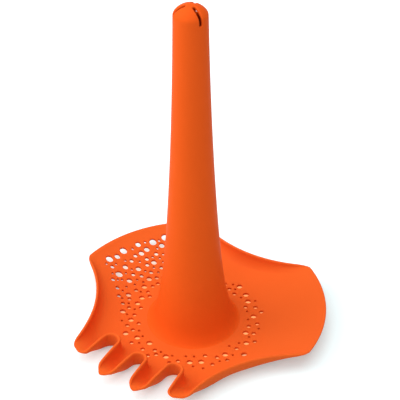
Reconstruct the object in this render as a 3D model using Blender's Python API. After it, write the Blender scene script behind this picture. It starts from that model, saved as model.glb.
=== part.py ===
"""Combination sand tool: a hollow cone handle that stands in a blade with three lobes.

The blade is one moulded sheet with a shovel, a sieve and a rake, 120 degrees apart round
the handle's foot. The sheet is flat round the foot and rises towards the ends of the
lobes like a shallow dish. Its edge curls up to a level rim, which droops a little along
the rake's prongs, and the sheet is thinner at the ends of the lobes.
The handle is a hollow cone with a flared foot and a domed tip with three slots. Its foot
seats in a ledge round the opening in the middle of the blade.

Frame: +Z up, the floor at z = 0, the rake towards -Y, the shovel at 30 degrees and the
sieve at 150 degrees from +X. The origin is the middle of the footprint, on the floor.
"""

import math

import bmesh
import bpy
import numpy as np
from mathutils import Vector
from mathutils.geometry import delaunay_2d_cdt

MM = 0.001

# Whole tool
HEIGHT = 280.0
CLEARANCE = 0.3
ROUND_STEPS = 48

# Blade: outline of the lobes, seen from above, at the outside of the rim
SHEET = 2.2
LOBE_RADIUS = 103.6
HOLLOW_RADIUS = 103.5
HOLLOW_NEAREST = 76.7
CORNER_RADIUS = 7.5
SHOVEL_ANGLE = 30.0
SIEVE_ANGLE = 150.0
RAKE_ANGLE = 270.0

# Blade: the rake's four prongs and the gaps between them
PRONG_PITCH = 28.8
PRONG_REACH = 101.0
PRONG_DROOP = 2.6
PRONG_HALF_WIDTH = 8.0
PRONG_TIP_RADIUS = 5.5
TIP_ARC_RADIUS = 17.8
OUTER_HALF_WIDTH = 7.0
INNER_CORNER_RADIUS = 6.0
GAP_END_DISTANCE = 73.3
SIDE_GAP_DISTANCE = 74.2
MIDDLE_GAP_RADIUS = 5.1
SIDE_GAP_RADIUS = 5.5

# Blade: the dish, the curled rim and the thinner ends of the lobes
FLAT_RADIUS = 50.0
RAKE_FLAT_RADIUS = 73.0
RIM_HEIGHT = 16.8
DISH_POWER = 1.5
CURL_WIDTH = 6.2
RAKE_CURL_WIDTH = 7.0
CURL_POWER = 2.0
RAKE_CURL_POWER = 2.6
END_THINNING = 1.0
THINNING_WALL = 3.0
EDGE_ROWS = (0.0, 0.05, 0.16, 0.42)
EDGE_TURNS = (30, -30)

# Blade: steps along its edge, in millimetres and degrees, and the net inside the edge
EDGE_STEP = 8.0
EDGE_TURN = 26.0
FINE_STEP = 1.5
FINE_TURN = 8.0
NET_PITCH = 8.0
NET_FROM_HOLE = 1.6
NET_FROM_SEAT = 3.0
ROW_DEPTHS = (0.55, 0.85)
ROW_FROM_HOLE = 1.0
ROW_SPACING = 1.5
FLAT_TOLERANCE = 0.02

# Blade: the seat for the handle
LEDGE_THICKNESS = 1.0
COLLAR_HEIGHT = 4.4
COLLAR_WALL = 1.8

# Blade: the sieve holes, as diameters
HOLE_DIAMETERS = {"s": 2.1, "m": 3.4, "l": 4.6, "x": 5.9}
HOLE_SIDES = {"s": 5, "m": 6, "l": 8, "x": 8}
HOLE_WEB = 0.7
HOLE_BORDER = 4.5

# Handle
FOOT_RADIUS = 36.3
FOOT_REACH = 2.8
TIP_RADIUS = 12.2
TAPER = 4.1
BELLY = 10.0
FLARE = 7.4
FLARE_REACH = 22.75
DOME_HEIGHT = 7.0
CREASE_SOFTNESS = 1.5
HANDLE_WALL = 2.2
FLANGE_THICKNESS = 1.1

# Handle: the slots in the tip
SLOT_COUNT = 3
SLOT_TURN = -18.0
SLOT_WIDTH = 2.2
SLOT_START = 2.8
SLOT_DROP = 3.8
CUTTER_ABOVE = 5.0
CUTTER_BEYOND = 8.0

# Colour of the moulding, linear
ORANGE = (0.83, 0.105, 0.018, 1.0)

# Hole centres: how far out, in hundredths of the way from the handle's foot to the end
# of a lobe, then each hole's angle from +X in degrees with the letter of its size.
HOLE_ROWS = (
    (81.3, "128x 139x 150s 154l 163x 172.5x"),
    (78.7, "124s 132m 135s 143s 146x 158s 168l 176s"),
    (71.5, "121s 125m 129s 138m 142l 151l 172s 175m"),
    (69, "134l 145s 155l 159m 166s"),
    (65, "122m 137s 163m 178.5s"),
    (62, "118s 131l 147m 169l"),
    (59.2, "124l 138m 143s 150s 154m 159s 176x 182m"),
    (55, "119s 129s 133s 146s 167s 172s 180s"),
    (51.5, "115m 137l 142s 151l 156m 163l 178s"),
    (48.3, "122s 132s 145s 169m 186m"),
    (44.6, "110s 118m 126l 138s 142m 153s 160s 175l"),
    (41, "114l 131s 148m 165m 181s 186s 192m"),
    (39.6, "122s 136m 157m 170s"),
    (36, "109m 127m 141s 152s 175s 193s"),
    (32.2, "118l 133l 162l 168s 187l 198m 311.5s 346l"),
    (29, "106s 125m 139s 156m 179m 207l 218s"),
    (28, "191m 233l 245.3m 265.4m 304s 319.4m 332m 3m"),
    (26, "40m 284.6m 326s 142m 152s 171l 196s"),
    (24.3, "55s 112m 120s 131s 257m 339s 19s"),
    (23.3, "78.5l 104l 178s 201m 210s 224m"),
    (21, "47m 84.5s 249s 270m 291m 301l 311l 358l 12m 25m"),
    (19.7, "66.3l 97l 127l 137m 148s 159m 165m"),
    (18.5, "111s 119m 217l 231m 242l 279l 326m 334l 347m 6s"),
    (16.2, "57l 78.5s 91m 143s 174m 184l 193l 202s 35l 266m"),
    (14.6, "103l 132l 210m 272s 284s 354s"),
    (12, "65s 83.3m 124m 234s 243s 255l 297s 305s 316m 10l 20m"),
    (9.8, "43s 50m 74m 94s 111l 117s 139s 147l 178m 198.5m 223m 344s 30s"),
)


def clear_scene():
    """Remove every object, so that the script gives the same result in any file."""
    for thing in list(bpy.data.objects):
        bpy.data.objects.remove(thing, do_unlink=True)


def plastic(name):
    """Satin orange polypropylene."""
    material = bpy.data.materials.new(name)
    material.use_nodes = True
    shader = material.node_tree.nodes["Principled BSDF"]
    shader.inputs["Base Color"].default_value = ORANGE
    shader.inputs["Roughness"].default_value = 0.45
    shader.inputs["Metallic"].default_value = 0.0
    material.diffuse_color = ORANGE
    return material


def polar(distance, degrees):
    """Point at a distance from the handle's axis, in a direction from +X."""
    angle = math.radians(degrees)
    return np.array([distance * math.cos(angle), distance * math.sin(angle)])


def mesh_object(name, points, faces, smooth_angle=32.0):
    """Closed mesh object from points in millimetres, with its faces turned outwards."""
    mesh = bpy.data.meshes.new(name)
    mesh.from_pydata([Vector(point) * MM for point in points], [], faces)
    body = bmesh.new()
    body.from_mesh(mesh)
    bmesh.ops.recalc_face_normals(body, faces=body.faces)
    body.to_mesh(mesh)
    body.free()
    mesh.shade_smooth()
    mesh.set_sharp_from_angle(angle=math.radians(smooth_angle))
    made = bpy.data.objects.new(name, mesh)
    bpy.context.scene.collection.objects.link(made)
    return made


# Outline of the blade

def corner_circles(lobe_angle, lobe_radius):
    """Rounding circles of a lobe's two corners.

    Each touches the lobe's end circle from inside and the hollow edge from outside, so
    the triangle from the axis to the hollow's centre and the corner's centre is known.
    """
    corner_distance = lobe_radius - CORNER_RADIUS
    hollow_distance = HOLLOW_NEAREST + HOLLOW_RADIUS
    touching = HOLLOW_RADIUS + CORNER_RADIUS
    cosine = (corner_distance**2 + hollow_distance**2 - touching**2) / (
        2 * corner_distance * hollow_distance)
    from_hollow = math.degrees(math.acos(cosine))
    first = polar(corner_distance, lobe_angle - 60 + from_hollow)
    last = polar(corner_distance, lobe_angle + 60 - from_hollow)
    return (first, CORNER_RADIUS), (last, CORNER_RADIUS)


def hollow_circle(middle_angle):
    """Circle of a hollow edge between two lobes: its centre lies outside the blade."""
    return polar(HOLLOW_NEAREST + HOLLOW_RADIUS, middle_angle), -HOLLOW_RADIUS


def in_rake(side, out):
    """Point beside the rake's axis, at a distance out along it."""
    return polar(out, RAKE_ANGLE) + polar(side, RAKE_ANGLE + 90)


def prong_tip(side):
    """Three circles of an inner prong's tip: two wide side arcs and the round end."""
    shift = TIP_ARC_RADIUS - PRONG_HALF_WIDTH
    rise = math.sqrt((TIP_ARC_RADIUS - PRONG_TIP_RADIUS)**2 - shift**2)
    end_out = PRONG_REACH - PRONG_TIP_RADIUS
    return [(in_rake(side + shift, end_out - rise), TIP_ARC_RADIUS),
            (in_rake(side, end_out), PRONG_TIP_RADIUS),
            (in_rake(side - shift, end_out - rise), TIP_ARC_RADIUS)]


def rake_circles():
    """Circles that the rake's edge runs round, from one side to the other.

    The outer prongs end on a circle about the axis, with a rounding circle at each
    corner. Each gap has one circle that lies outside the blade.
    """
    end = (np.zeros(2), PRONG_REACH)
    inner_side = 1.5 * PRONG_PITCH - OUTER_HALF_WIDTH + INNER_CORNER_RADIUS
    inner_out = math.sqrt((PRONG_REACH - INNER_CORNER_RADIUS)**2 - inner_side**2)
    gap_out = math.sqrt(SIDE_GAP_DISTANCE**2 - PRONG_PITCH**2)
    first, last = corner_circles(RAKE_ANGLE, PRONG_REACH)
    return [first, end, (in_rake(-inner_side, inner_out), INNER_CORNER_RADIUS),
            (in_rake(-PRONG_PITCH, gap_out), -SIDE_GAP_RADIUS),
            *prong_tip(-PRONG_PITCH / 2),
            (in_rake(0, GAP_END_DISTANCE), -MIDDLE_GAP_RADIUS),
            *prong_tip(PRONG_PITCH / 2),
            (in_rake(PRONG_PITCH, gap_out), -SIDE_GAP_RADIUS),
            (in_rake(inner_side, inner_out), INNER_CORNER_RADIUS), end, last]


def outline_circles():
    """All circles of the outline, counter-clockwise. A negative radius is a hollow one."""
    circles = []
    for lobe_angle in (SHOVEL_ANGLE, SIEVE_ANGLE):
        first, last = corner_circles(lobe_angle, LOBE_RADIUS)
        circles += [first, (np.zeros(2), LOBE_RADIUS), last, hollow_circle(lobe_angle + 60)]
    circles += rake_circles()
    circles.append(hollow_circle(RAKE_ANGLE + 60))
    return circles


def outline(longest, widest_turn):
    """Points round the blade like a belt round its circles, with their inward normals.

    From one circle to the next the belt follows their common tangent, which has no
    length where the two circles touch. A step is at most longest long, and turns by at
    most widest_turn degrees.
    """
    widest_turn = math.radians(widest_turn)
    circles = outline_circles()
    count = len(circles)
    headings = []
    for here in range(count):
        (start, start_radius), (end, end_radius) = circles[here], circles[(here + 1) % count]
        reach = end - start
        step = end_radius - start_radius
        run = math.sqrt(max(reach @ reach - step**2, 0.0))
        heading = math.atan2(reach[1], reach[0]) - math.atan2(step, run)
        headings.append((heading, run))
    points = []
    normals = []
    for here in range(count):
        centre, radius = circles[here]
        arriving = headings[here - 1][0]
        leaving, run = headings[here]
        turn = (leaving - arriving) % (2 * math.pi)
        if radius < 0:
            turn -= 2 * math.pi
        steps = max(math.ceil(abs(turn * radius) / longest),
                    math.ceil(abs(turn) / widest_turn), 1)
        for angle in arriving + turn * np.arange(steps + 1) / steps:
            inward = np.array([-math.sin(angle), math.cos(angle)])
            points.append(centre - radius * inward)
            normals.append(inward)
        ahead = np.array([math.cos(leaving), math.sin(leaving)])
        inward = np.array([-ahead[1], ahead[0]])
        straight = math.ceil(run / longest)
        for share in range(1, straight):
            points.append(centre - radius * inward + ahead * run * share / straight)
            normals.append(inward)
        if run < 0.01:
            points.pop()
            normals.pop()
    return np.array(points), np.array(normals)


def inside_distance(places, edge):
    """Distance from each place to the closed polygon edge."""
    start = edge
    along = np.roll(edge, -1, axis=0) - edge
    nearest = np.full(len(places), np.inf)
    for chunk in range(0, len(places), 200):
        offset = places[chunk:chunk + 200, None, :] - start[None]
        share = np.clip((offset * along).sum(2) / (along**2).sum(1), 0, 1)
        gap = offset - share[..., None] * along
        nearest[chunk:chunk + 200] = np.sqrt((gap**2).sum(2)).min(1)
    return nearest


def is_inside(places, edge):
    """Whether each place lies inside the closed polygon edge, by counting crossings."""
    following = np.roll(edge, -1, axis=0)
    x, y = places[:, 0, None], places[:, 1, None]
    straddles = (edge[:, 1] > y) != (following[:, 1] > y)
    rise = np.where(following[:, 1] == edge[:, 1], 1.0, following[:, 1] - edge[:, 1])
    crossing = edge[:, 0] + (y - edge[:, 1]) * (following[:, 0] - edge[:, 0]) / rise
    return (straddles & (x < crossing)).sum(1) % 2 == 1


# Height of the blade's sheet

def rake_share(places):
    """How much each place belongs to the rake: 1 within 30 degrees of it, 0 past 60."""
    azimuth = np.degrees(np.arctan2(places[:, 1], places[:, 0]))
    from_rake = np.abs((azimuth - RAKE_ANGLE + 180) % 360 - 180)
    share = 1 - np.clip((from_rake - 30) / 30, 0, 1)
    return share**2 * (3 - 2 * share)


def rim_height(places):
    """Height of the middle layer at the rim: level, and drooping along the prongs."""
    distance = np.hypot(places[:, 0], places[:, 1])
    out = np.clip((distance - GAP_END_DISTANCE) / (PRONG_REACH - GAP_END_DISTANCE), 0, 1)
    return RIM_HEIGHT - SHEET / 2 - PRONG_DROOP * out * rake_share(places)


def dish_height(places):
    """Height of the sheet's middle layer without the curl at its edge.

    The shovel and the sieve are flat out to FLAT_RADIUS and then rise as a power of the
    distance. The prongs rise in a smooth step that starts near the ends of the gaps.
    All reach the rim's height at the end of the lobe.
    """
    distance = np.hypot(places[:, 0], places[:, 1])
    rake = rake_share(places)
    full = np.clip((distance - FLAT_RADIUS) / (LOBE_RADIUS - SHEET / 2 - FLAT_RADIUS), 0, 1)
    prong = np.clip((distance - RAKE_FLAT_RADIUS) / (PRONG_REACH - RAKE_FLAT_RADIUS), 0, 1)
    risen = full**DISH_POWER * (1 - rake) + prong**2 * (3 - 2 * prong) * rake
    return SHEET / 2 + (RIM_HEIGHT - SHEET - PRONG_DROOP * rake) * risen


def sheet_height(places, depth):
    """Height of the sheet's middle layer at a depth inside its edge.

    The curl is a quarter of an ellipse: level with the dish at its full width and
    upright at the edge, where it reaches the rim. It is wider and squarer on the rake.
    """
    base = dish_height(places)
    rim = np.maximum(rim_height(places), base)
    rake = rake_share(places)
    width = CURL_WIDTH + (RAKE_CURL_WIDTH - CURL_WIDTH) * rake
    power = CURL_POWER + (RAKE_CURL_POWER - CURL_POWER) * rake
    inward = 1 - np.clip(depth / width, 0, 1)
    return base + (rim - base) * (1 - (1 - inward**power)**(1 / power))


def thinning(places):
    """How much the sheet's underside is raised where the wall of the rim dies out."""
    wall = np.clip((rim_height(places) - dish_height(places)) / THINNING_WALL, 0, 1)
    return END_THINNING * (1 - wall**2 * (3 - 2 * wall))


# Sieve holes

def hole_list(edge):
    """Centre, radius and number of sides of each sieve hole.

    A hole is left out where it would come too near the rim or its neighbour.
    """
    holes = []
    for share, row in HOLE_ROWS:
        distance = FOOT_RADIUS + (LOBE_RADIUS - FOOT_RADIUS) * share / 100
        for entry in row.split():
            size = entry[-1]
            centre = polar(distance, float(entry[:-1]))
            radius = HOLE_DIAMETERS[size] / 2
            depth = inside_distance(centre[None], edge)[0]
            if depth < radius + HOLE_BORDER or distance - radius < FOOT_RADIUS + HOLE_WEB:
                continue
            if all(math.dist(centre, other[0]) > radius + other[1] + HOLE_WEB
                   for other in holes):
                holes.append((centre, radius, HOLE_SIDES[size]))
    return holes


def hole_polygon(centre, radius, sides):
    """Corners of a hole: a regular polygon of the round hole's area."""
    reach = radius * math.sqrt(2 * math.pi / sides / math.sin(2 * math.pi / sides))
    angles = 2 * math.pi * np.arange(sides) / sides
    return centre + reach * np.column_stack([np.cos(angles), np.sin(angles)])


# Blade

def field_points(edge, holes):
    """Extra points between the holes on a triangular grid, clear of holes and edges."""
    reach = math.ceil(LOBE_RADIUS / NET_PITCH)
    across, up = np.meshgrid(np.arange(-reach, reach + 1), np.arange(-reach, reach + 1))
    grid = np.column_stack([(across + 0.5 * (up % 2)).ravel(), (up * 0.866).ravel()]) * NET_PITCH
    grid = grid[is_inside(grid, edge)]
    grid = grid[inside_distance(grid, edge) > CURL_WIDTH]
    grid = grid[np.hypot(grid[:, 0], grid[:, 1]) > FOOT_RADIUS + NET_FROM_SEAT]
    for centre, radius, _ in holes:
        grid = grid[np.hypot(*(grid - centre).T) > radius + NET_FROM_HOLE]
    return grid


def curl_points(points, normals, edge, holes, depth):
    """Points at one depth inside the edge, without those that crowd together."""
    row = points + normals * depth
    row = row[is_inside(row, edge) & (inside_distance(row, edge) > 0.97 * depth)]
    kept = []
    for place in row:
        if all(math.dist(place, other) > ROW_SPACING for other in kept[-3:] + kept[:2]):
            kept.append(place)
    for centre, radius, _ in holes:
        kept = [place for place in kept if math.dist(place, centre) > radius + ROW_FROM_HOLE]
    return kept


def sheet_layout():
    """Middle layer of the sheet as points, triangles and its open loops.

    The curled edge is made of rows that follow the outline. Inside them the sheet is a
    Delaunay net round the sieve holes and the opening in the middle.
    """
    points, normals = outline(EDGE_STEP, EDGE_TURN)
    points = points + normals * SHEET / 2
    fine_points, fine_normals = outline(FINE_STEP, FINE_TURN)
    edge = fine_points + fine_normals * SHEET / 2
    smallest = min(CORNER_RADIUS, PRONG_TIP_RADIUS) - SHEET / 2
    depths = np.array(EDGE_ROWS) * min(smallest, CURL_WIDTH)
    count = len(points)
    rows = [points + normals * depth for depth in depths]
    heights = [sheet_height(row, depth) for row, depth in zip(rows, depths)]
    faces = []
    for row in range(len(rows) - 1):
        for here in range(count):
            following = (here + 1) % count
            faces.append((row * count + here, row * count + following,
                          (row + 1) * count + following, (row + 1) * count + here))

    holes = hole_list(edge)
    seat = FOOT_RADIUS + CLEARANCE
    loops = [rows[-1]]
    loops.append(np.array([polar(seat, 360 * step / ROUND_STEPS) for step in range(ROUND_STEPS)]))
    loops += [hole_polygon(*hole) for hole in holes]
    loose = [field_points(edge, holes)]
    for share in ROW_DEPTHS:
        row = curl_points(points, normals, edge, holes, share * CURL_WIDTH)
        if row:
            loose.append(np.array(row))
    flat = np.concatenate(loops + loose)
    lines = []
    starts = []
    first = 0
    for loop in loops:
        size = len(loop)
        starts.append(first)
        lines += [(first + step, first + (step + 1) % size) for step in range(size)]
        first += size
    owner = np.full(len(flat), -1)
    for number, start in enumerate(starts):
        owner[start:start + len(loops[number])] = number
    net = delaunay_2d_cdt([Vector(place) for place in flat], lines, [], 0, 1e-6, True)
    source = np.array([ids[0] for ids in net[3]])
    triangles = source[np.array([list(triangle) for triangle in net[2]])]
    middles = flat[triangles].mean(1)
    owners = owner[triangles]
    in_opening = (owners[:, 0] > 0) & (owners == owners[:, :1]).all(1)
    triangles = triangles[is_inside(middles, rows[-1]) & ~in_opening]
    offset = (len(rows) - 1) * count
    faces += [tuple(offset + corner for corner in triangle) for triangle in triangles.tolist()]
    inner = flat[count:]
    places = np.concatenate([*rows, inner])
    height = np.concatenate([*heights, sheet_height(inner, inside_distance(inner, edge))])
    surface = np.column_stack([places, height])
    open_loops = [list(range(offset + start, offset + start + len(loop)))
                  for start, loop in zip(starts[1:], loops[1:])]
    return surface, faces, count, open_loops


def surface_normals(surface, faces):
    """Unit normal at each point, the area-weighted mean of the faces round it."""
    normals = np.zeros_like(surface)
    for face in faces:
        corners = surface[list(face)]
        across = np.cross(corners[1] - corners[0], corners[-1] - corners[0])
        if len(face) == 4:
            across = np.cross(corners[2] - corners[0], corners[3] - corners[1])
        weight = across / max(np.linalg.norm(across), 1e-12)
        for corner in face:
            normals[corner] += weight
    return normals / np.linalg.norm(normals, axis=1)[:, None]


def blade():
    """The three-lobed blade: sheet, curled rim, sieve holes, ledge and collar."""
    surface, faces, count, open_loops = sheet_layout()
    normals = surface_normals(surface, faces)
    flat = surface[:, 2] < SHEET / 2 + FLAT_TOLERANCE
    normals[flat] = (0, 0, 1)
    total = len(surface)
    thinner = thinning(surface[:, :2])[:, None]
    surface = surface + normals * thinner / 2
    half = (SHEET - thinner) / 2
    top = surface + normals * half
    bottom = surface - normals * half
    bottom[:, 2] = np.maximum(bottom[:, 2], 0.0)
    points = [*top, *bottom]
    solid = [face for face in faces]
    solid += [tuple(total + corner for corner in reversed(face)) for face in faces]

    outward = surface[:count] - surface[count:2 * count]
    outward /= np.linalg.norm(outward, axis=1)[:, None]
    rings = [list(range(count))]
    for turn in np.radians(EDGE_TURNS):
        ring = surface[:count] + half[:count] * (outward + normals[:count] * math.tan(turn))
        rings.append(list(range(len(points), len(points) + count)))
        points += [*ring]
    rings.append([total + step for step in range(count)])
    for upper, lower in zip(rings, rings[1:]):
        for here in range(count):
            following = (here + 1) % count
            solid.append((upper[here], lower[here], lower[following], upper[following]))

    for loop in open_loops[1:]:
        for here, following in zip(loop, loop[1:] + loop[:1]):
            solid.append((here, following, total + following, total + here))

    seat_loop = open_loops[0]
    steps = [(FOOT_RADIUS + CLEARANCE, LEDGE_THICKNESS),
             (collar_radius(), LEDGE_THICKNESS),
             (collar_radius(), COLLAR_HEIGHT),
             (collar_radius() - COLLAR_WALL, COLLAR_HEIGHT),
             (collar_radius() - COLLAR_WALL, 0.0)]
    rings = [seat_loop]
    for radius, height in steps:
        rings.append(list(range(len(points), len(points) + ROUND_STEPS)))
        for step in range(ROUND_STEPS):
            points.append((*polar(radius, 360 * step / ROUND_STEPS), height))
    rings.append([total + corner for corner in seat_loop])
    for upper, lower in zip(rings, rings[1:]):
        for here in range(ROUND_STEPS):
            following = (here + 1) % ROUND_STEPS
            solid.append((upper[here], upper[following], lower[following], lower[here]))
    made = mesh_object("blade", points, solid)
    made.data.materials.append(plastic("blade_plastic"))
    return made


# Handle

def crease_height():
    """Height of the crease between the cone and the dome."""
    return HEIGHT - DOME_HEIGHT


def cone_radius(height):
    """Outer radius of the cone, with its flare but without the fillet at its foot."""
    share = (crease_height() - height) / crease_height()
    flare = FLARE * math.exp(-(height - SHEET) / FLARE_REACH)
    return TIP_RADIUS + TAPER * share + BELLY * share**2 + flare


def outer_radius(height):
    """Outer radius of the cone with the fillet that runs out to the foot's edge."""
    fillet = FOOT_RADIUS - cone_radius(SHEET)
    return cone_radius(height) + fillet * math.exp(-(height - SHEET) / FOOT_REACH)


def inner_radius(height):
    """Radius of the hollow, one wall thickness inside the cone's slanted surface."""
    slope = (cone_radius(height + 0.5) - cone_radius(height - 0.5)) / 1.0
    return cone_radius(height) - HANDLE_WALL * math.hypot(1, slope)


def mouth_radius():
    """Radius of the straight mouth that the blade's collar stands in."""
    return inner_radius(COLLAR_HEIGHT + CLEARANCE)


def collar_radius():
    """Outer radius of the blade's collar."""
    return mouth_radius() - CLEARANCE


def handle_profile():
    """Half section of the handle from the outer apex round the foot to the inner apex."""
    crease = crease_height()
    dome_radius = (TIP_RADIUS**2 + DOME_HEIGHT**2) / (2 * DOME_HEIGHT)
    dome_centre = HEIGHT - dome_radius
    edge_angle = math.asin(min(TIP_RADIUS / dome_radius, 1.0))
    soft_angle = edge_angle - CREASE_SOFTNESS / dome_radius
    profile = [(0.0, HEIGHT)]
    for share in (0.28, 0.55, 0.8, 1.0):
        angle = soft_angle * share
        profile.append((dome_radius * math.sin(angle), dome_centre + dome_radius * math.cos(angle)))
    below = (outer_radius(crease - CREASE_SOFTNESS), crease - CREASE_SOFTNESS)
    corner = (TIP_RADIUS, crease)
    before = profile[-1]
    for share in (0.33, 0.67):
        keep = (1 - share)**2
        pull = 2 * share * (1 - share)
        profile.append(tuple(keep * before[k] + pull * corner[k] + share**2 * below[k]
                             for k in range(2)))
    profile.append(below)
    rise = crease - CREASE_SOFTNESS - SHEET
    for share in (0.8, 0.6, 0.44, 0.32, 0.23, 0.16, 0.11, 0.075, 0.047, 0.027, 0.013, 0.005):
        height = SHEET + rise * share
        profile.append((outer_radius(height), height))
    flange_bottom = SHEET - FLANGE_THICKNESS
    profile.append((FOOT_RADIUS, SHEET))
    profile.append((FOOT_RADIUS, flange_bottom))
    profile.append((mouth_radius(), flange_bottom))
    mouth_top = COLLAR_HEIGHT + CLEARANCE
    inner_dome = dome_radius - HANDLE_WALL
    inner_tip = inner_radius(crease)
    inner_corner = dome_centre + math.sqrt(max(inner_dome**2 - inner_tip**2, 0.0))
    for share in (0.0, 0.06, 0.14, 0.26, 0.45, 0.7, 1.0):
        height = mouth_top + (inner_corner - mouth_top) * share
        profile.append((inner_radius(height), height))
    inner_edge = math.asin(min(inner_tip / inner_dome, 1.0))
    for share in (0.66, 0.33):
        angle = inner_edge * share
        profile.append((inner_dome * math.sin(angle), dome_centre + inner_dome * math.cos(angle)))
    profile.append((0.0, dome_centre + inner_dome))
    return profile


def revolved(name, profile):
    """Closed body from a half section whose two ends lie on the axis."""
    points = [(0.0, 0.0, profile[0][1])]
    for radius, height in profile[1:-1]:
        for step in range(ROUND_STEPS):
            points.append((*polar(radius, 360 * step / ROUND_STEPS), height))
    points.append((0.0, 0.0, profile[-1][1]))
    faces = []
    last = len(points) - 1
    for step in range(ROUND_STEPS):
        following = (step + 1) % ROUND_STEPS
        faces.append((0, 1 + step, 1 + following))
        for ring in range(len(profile) - 3):
            upper = 1 + ring * ROUND_STEPS
            lower = upper + ROUND_STEPS
            faces.append((upper + step, lower + step, lower + following, upper + following))
        final = 1 + (len(profile) - 3) * ROUND_STEPS
        faces.append((final + step, last, final + following))
    return mesh_object(name, points, faces)


def slot_cutter(number):
    """Radial cutter of one tip slot: a plate with a round lower edge."""
    half = SLOT_WIDTH / 2
    low = crease_height() - SLOT_DROP + half
    high = HEIGHT + CUTTER_ABOVE
    section = [(half, high), (-half, high)]
    for step in range(7):
        angle = math.pi + math.pi * step / 6
        section.append((half * math.cos(angle), low + half * math.sin(angle)))
    points = []
    for radius in (SLOT_START, TIP_RADIUS + CUTTER_BEYOND):
        points += [(radius, across, height) for across, height in section]
    size = len(section)
    faces = [tuple(range(size)), tuple(reversed(range(size, 2 * size)))]
    for here in range(size):
        following = (here + 1) % size
        faces.append((here, size + here, size + following, following))
    cutter = mesh_object(f"slot_cutter_{number + 1}", points, faces)
    cutter.rotation_euler[2] = math.radians(SLOT_TURN + 360 * number / SLOT_COUNT)
    cutter.hide_render = True
    cutter.display_type = "WIRE"
    return cutter


def cone_handle():
    """The hollow cone handle with its flange, flared foot and slotted dome."""
    made = revolved("cone_handle", handle_profile())
    made.data.materials.append(plastic("handle_plastic"))
    for number in range(SLOT_COUNT):
        cutter = slot_cutter(number)
        cutter.parent = made
        cut = made.modifiers.new(f"slot_{number + 1}", "BOOLEAN")
        cut.operation = "DIFFERENCE"
        cut.solver = "EXACT"
        cut.object = cutter
    return made


def main():
    clear_scene()
    plate = blade()
    handle = cone_handle()
    across = [vertex.co.y for vertex in plate.data.vertices]
    footprint_middle = (min(across) + max(across)) / 2
    for piece in (plate, handle):
        piece.location = (0, -footprint_middle, 0)


main()
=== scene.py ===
"""Looks of the combination sand tool: a cone handle on a blade with three lobes.

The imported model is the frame. Both mouldings are made again as fine surfaces in the same
place: the blade's sheet with its curled rim and soft-edged holes, and the handle's shell
with its flared foot and slotted dome. Sizes are in millimetres until a mesh is made.
"""

import math

import bpy
import numpy as np
from mathutils import Matrix, Vector
from mathutils.geometry import delaunay_2d_cdt


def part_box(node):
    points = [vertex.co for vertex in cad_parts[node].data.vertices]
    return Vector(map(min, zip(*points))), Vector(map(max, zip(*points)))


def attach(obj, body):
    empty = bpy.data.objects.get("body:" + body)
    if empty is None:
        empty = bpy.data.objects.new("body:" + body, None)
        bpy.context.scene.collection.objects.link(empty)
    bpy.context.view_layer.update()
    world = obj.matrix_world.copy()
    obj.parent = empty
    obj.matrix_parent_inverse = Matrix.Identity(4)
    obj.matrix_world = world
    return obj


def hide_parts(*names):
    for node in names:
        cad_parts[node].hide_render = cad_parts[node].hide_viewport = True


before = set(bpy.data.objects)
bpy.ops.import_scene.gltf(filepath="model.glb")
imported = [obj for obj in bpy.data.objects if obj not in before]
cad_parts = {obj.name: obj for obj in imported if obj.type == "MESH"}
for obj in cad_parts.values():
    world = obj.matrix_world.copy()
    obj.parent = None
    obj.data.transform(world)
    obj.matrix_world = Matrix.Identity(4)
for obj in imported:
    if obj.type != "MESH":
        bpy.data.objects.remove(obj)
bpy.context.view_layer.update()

MM = 0.001

# Sizes and places that the frame gives
HANDLE_LOW, HANDLE_HIGH = (np.array(corner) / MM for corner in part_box("cone_handle"))
AXIS = (HANDLE_LOW[:2] + HANDLE_HIGH[:2]) / 2
HEIGHT = HANDLE_HIGH[2]
FOOT_RADIUS = (HANDLE_HIGH[0] - HANDLE_LOW[0]) / 2
BLADE_LOW, BLADE_HIGH = (np.array(corner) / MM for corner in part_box("blade"))

# Shapes are laid out about the handle's axis, which lies at AXIS in the frame
MIDDLE = np.zeros(2)

# Blade: sheet and outline, at the outside of the rim
SHEET = 2.2
RIM_HEIGHT = 16.8
LOBE_RADIUS = 103.6
HOLLOW_RADIUS = 103.5
HOLLOW_NEAREST = 76.7
CORNER_RADIUS = 7.5
HALF_SECTOR = 60.0
SHOVEL_ANGLE = 30.0
SIEVE_ANGLE = 150.0
RAKE_ANGLE = 270.0
PRONG_PITCH = 28.8
PRONG_REACH = 101.0
PRONG_DROOP = 2.9
DROOP_POWER = 2.5
PRONG_HALF_WIDTH = 8.0
PRONG_TIP_RADIUS = 5.5
TIP_ARC_RADIUS = 17.8
OUTER_HALF_WIDTH = 7.0
INNER_CORNER_RADIUS = 6.0
GAP_END_DISTANCE = 73.3
SIDE_GAP_DISTANCE = 74.2
MIDDLE_GAP_RADIUS = 5.1
SIDE_GAP_RADIUS = 5.5

# Blade: dish and curl. The rake's own forms are full within RAKE_FULL degrees of its
# middle and die out over RAKE_FADE more. Where the rim has no wall the sheet is thinner
# by END_THINNING, and where its wall is THINNING_WALL high the sheet is full.
FLAT_RADIUS = 50.0
DISH_POWER = 1.5
RAKE_FLAT_RADIUS = 73.0
RAKE_FULL = 30.0
RAKE_FADE = 30.0
CURL_WIDTH = 6.2
RAKE_CURL_WIDTH = 7.0
CURL_POWER = 2.0
RAKE_CURL_POWER = 2.6
CURL_ROWS = 12
STRIP_DEPTH = 2.3
FADE_DELAY = 0.4
RIM_TURNS = (60, 30, 0, -30, -60)
END_THINNING = 1.0
THINNING_WALL = 3.0

# Blade: seat of the handle
FOOT_GAP = 0.02
LEDGE_THICKNESS = 1.0
COLLAR_HEIGHT = 4.4
COLLAR_WALL = 1.8
COLLAR_CHAMFER = 0.4
OPENING_CHAMFER = 0.5

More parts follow.
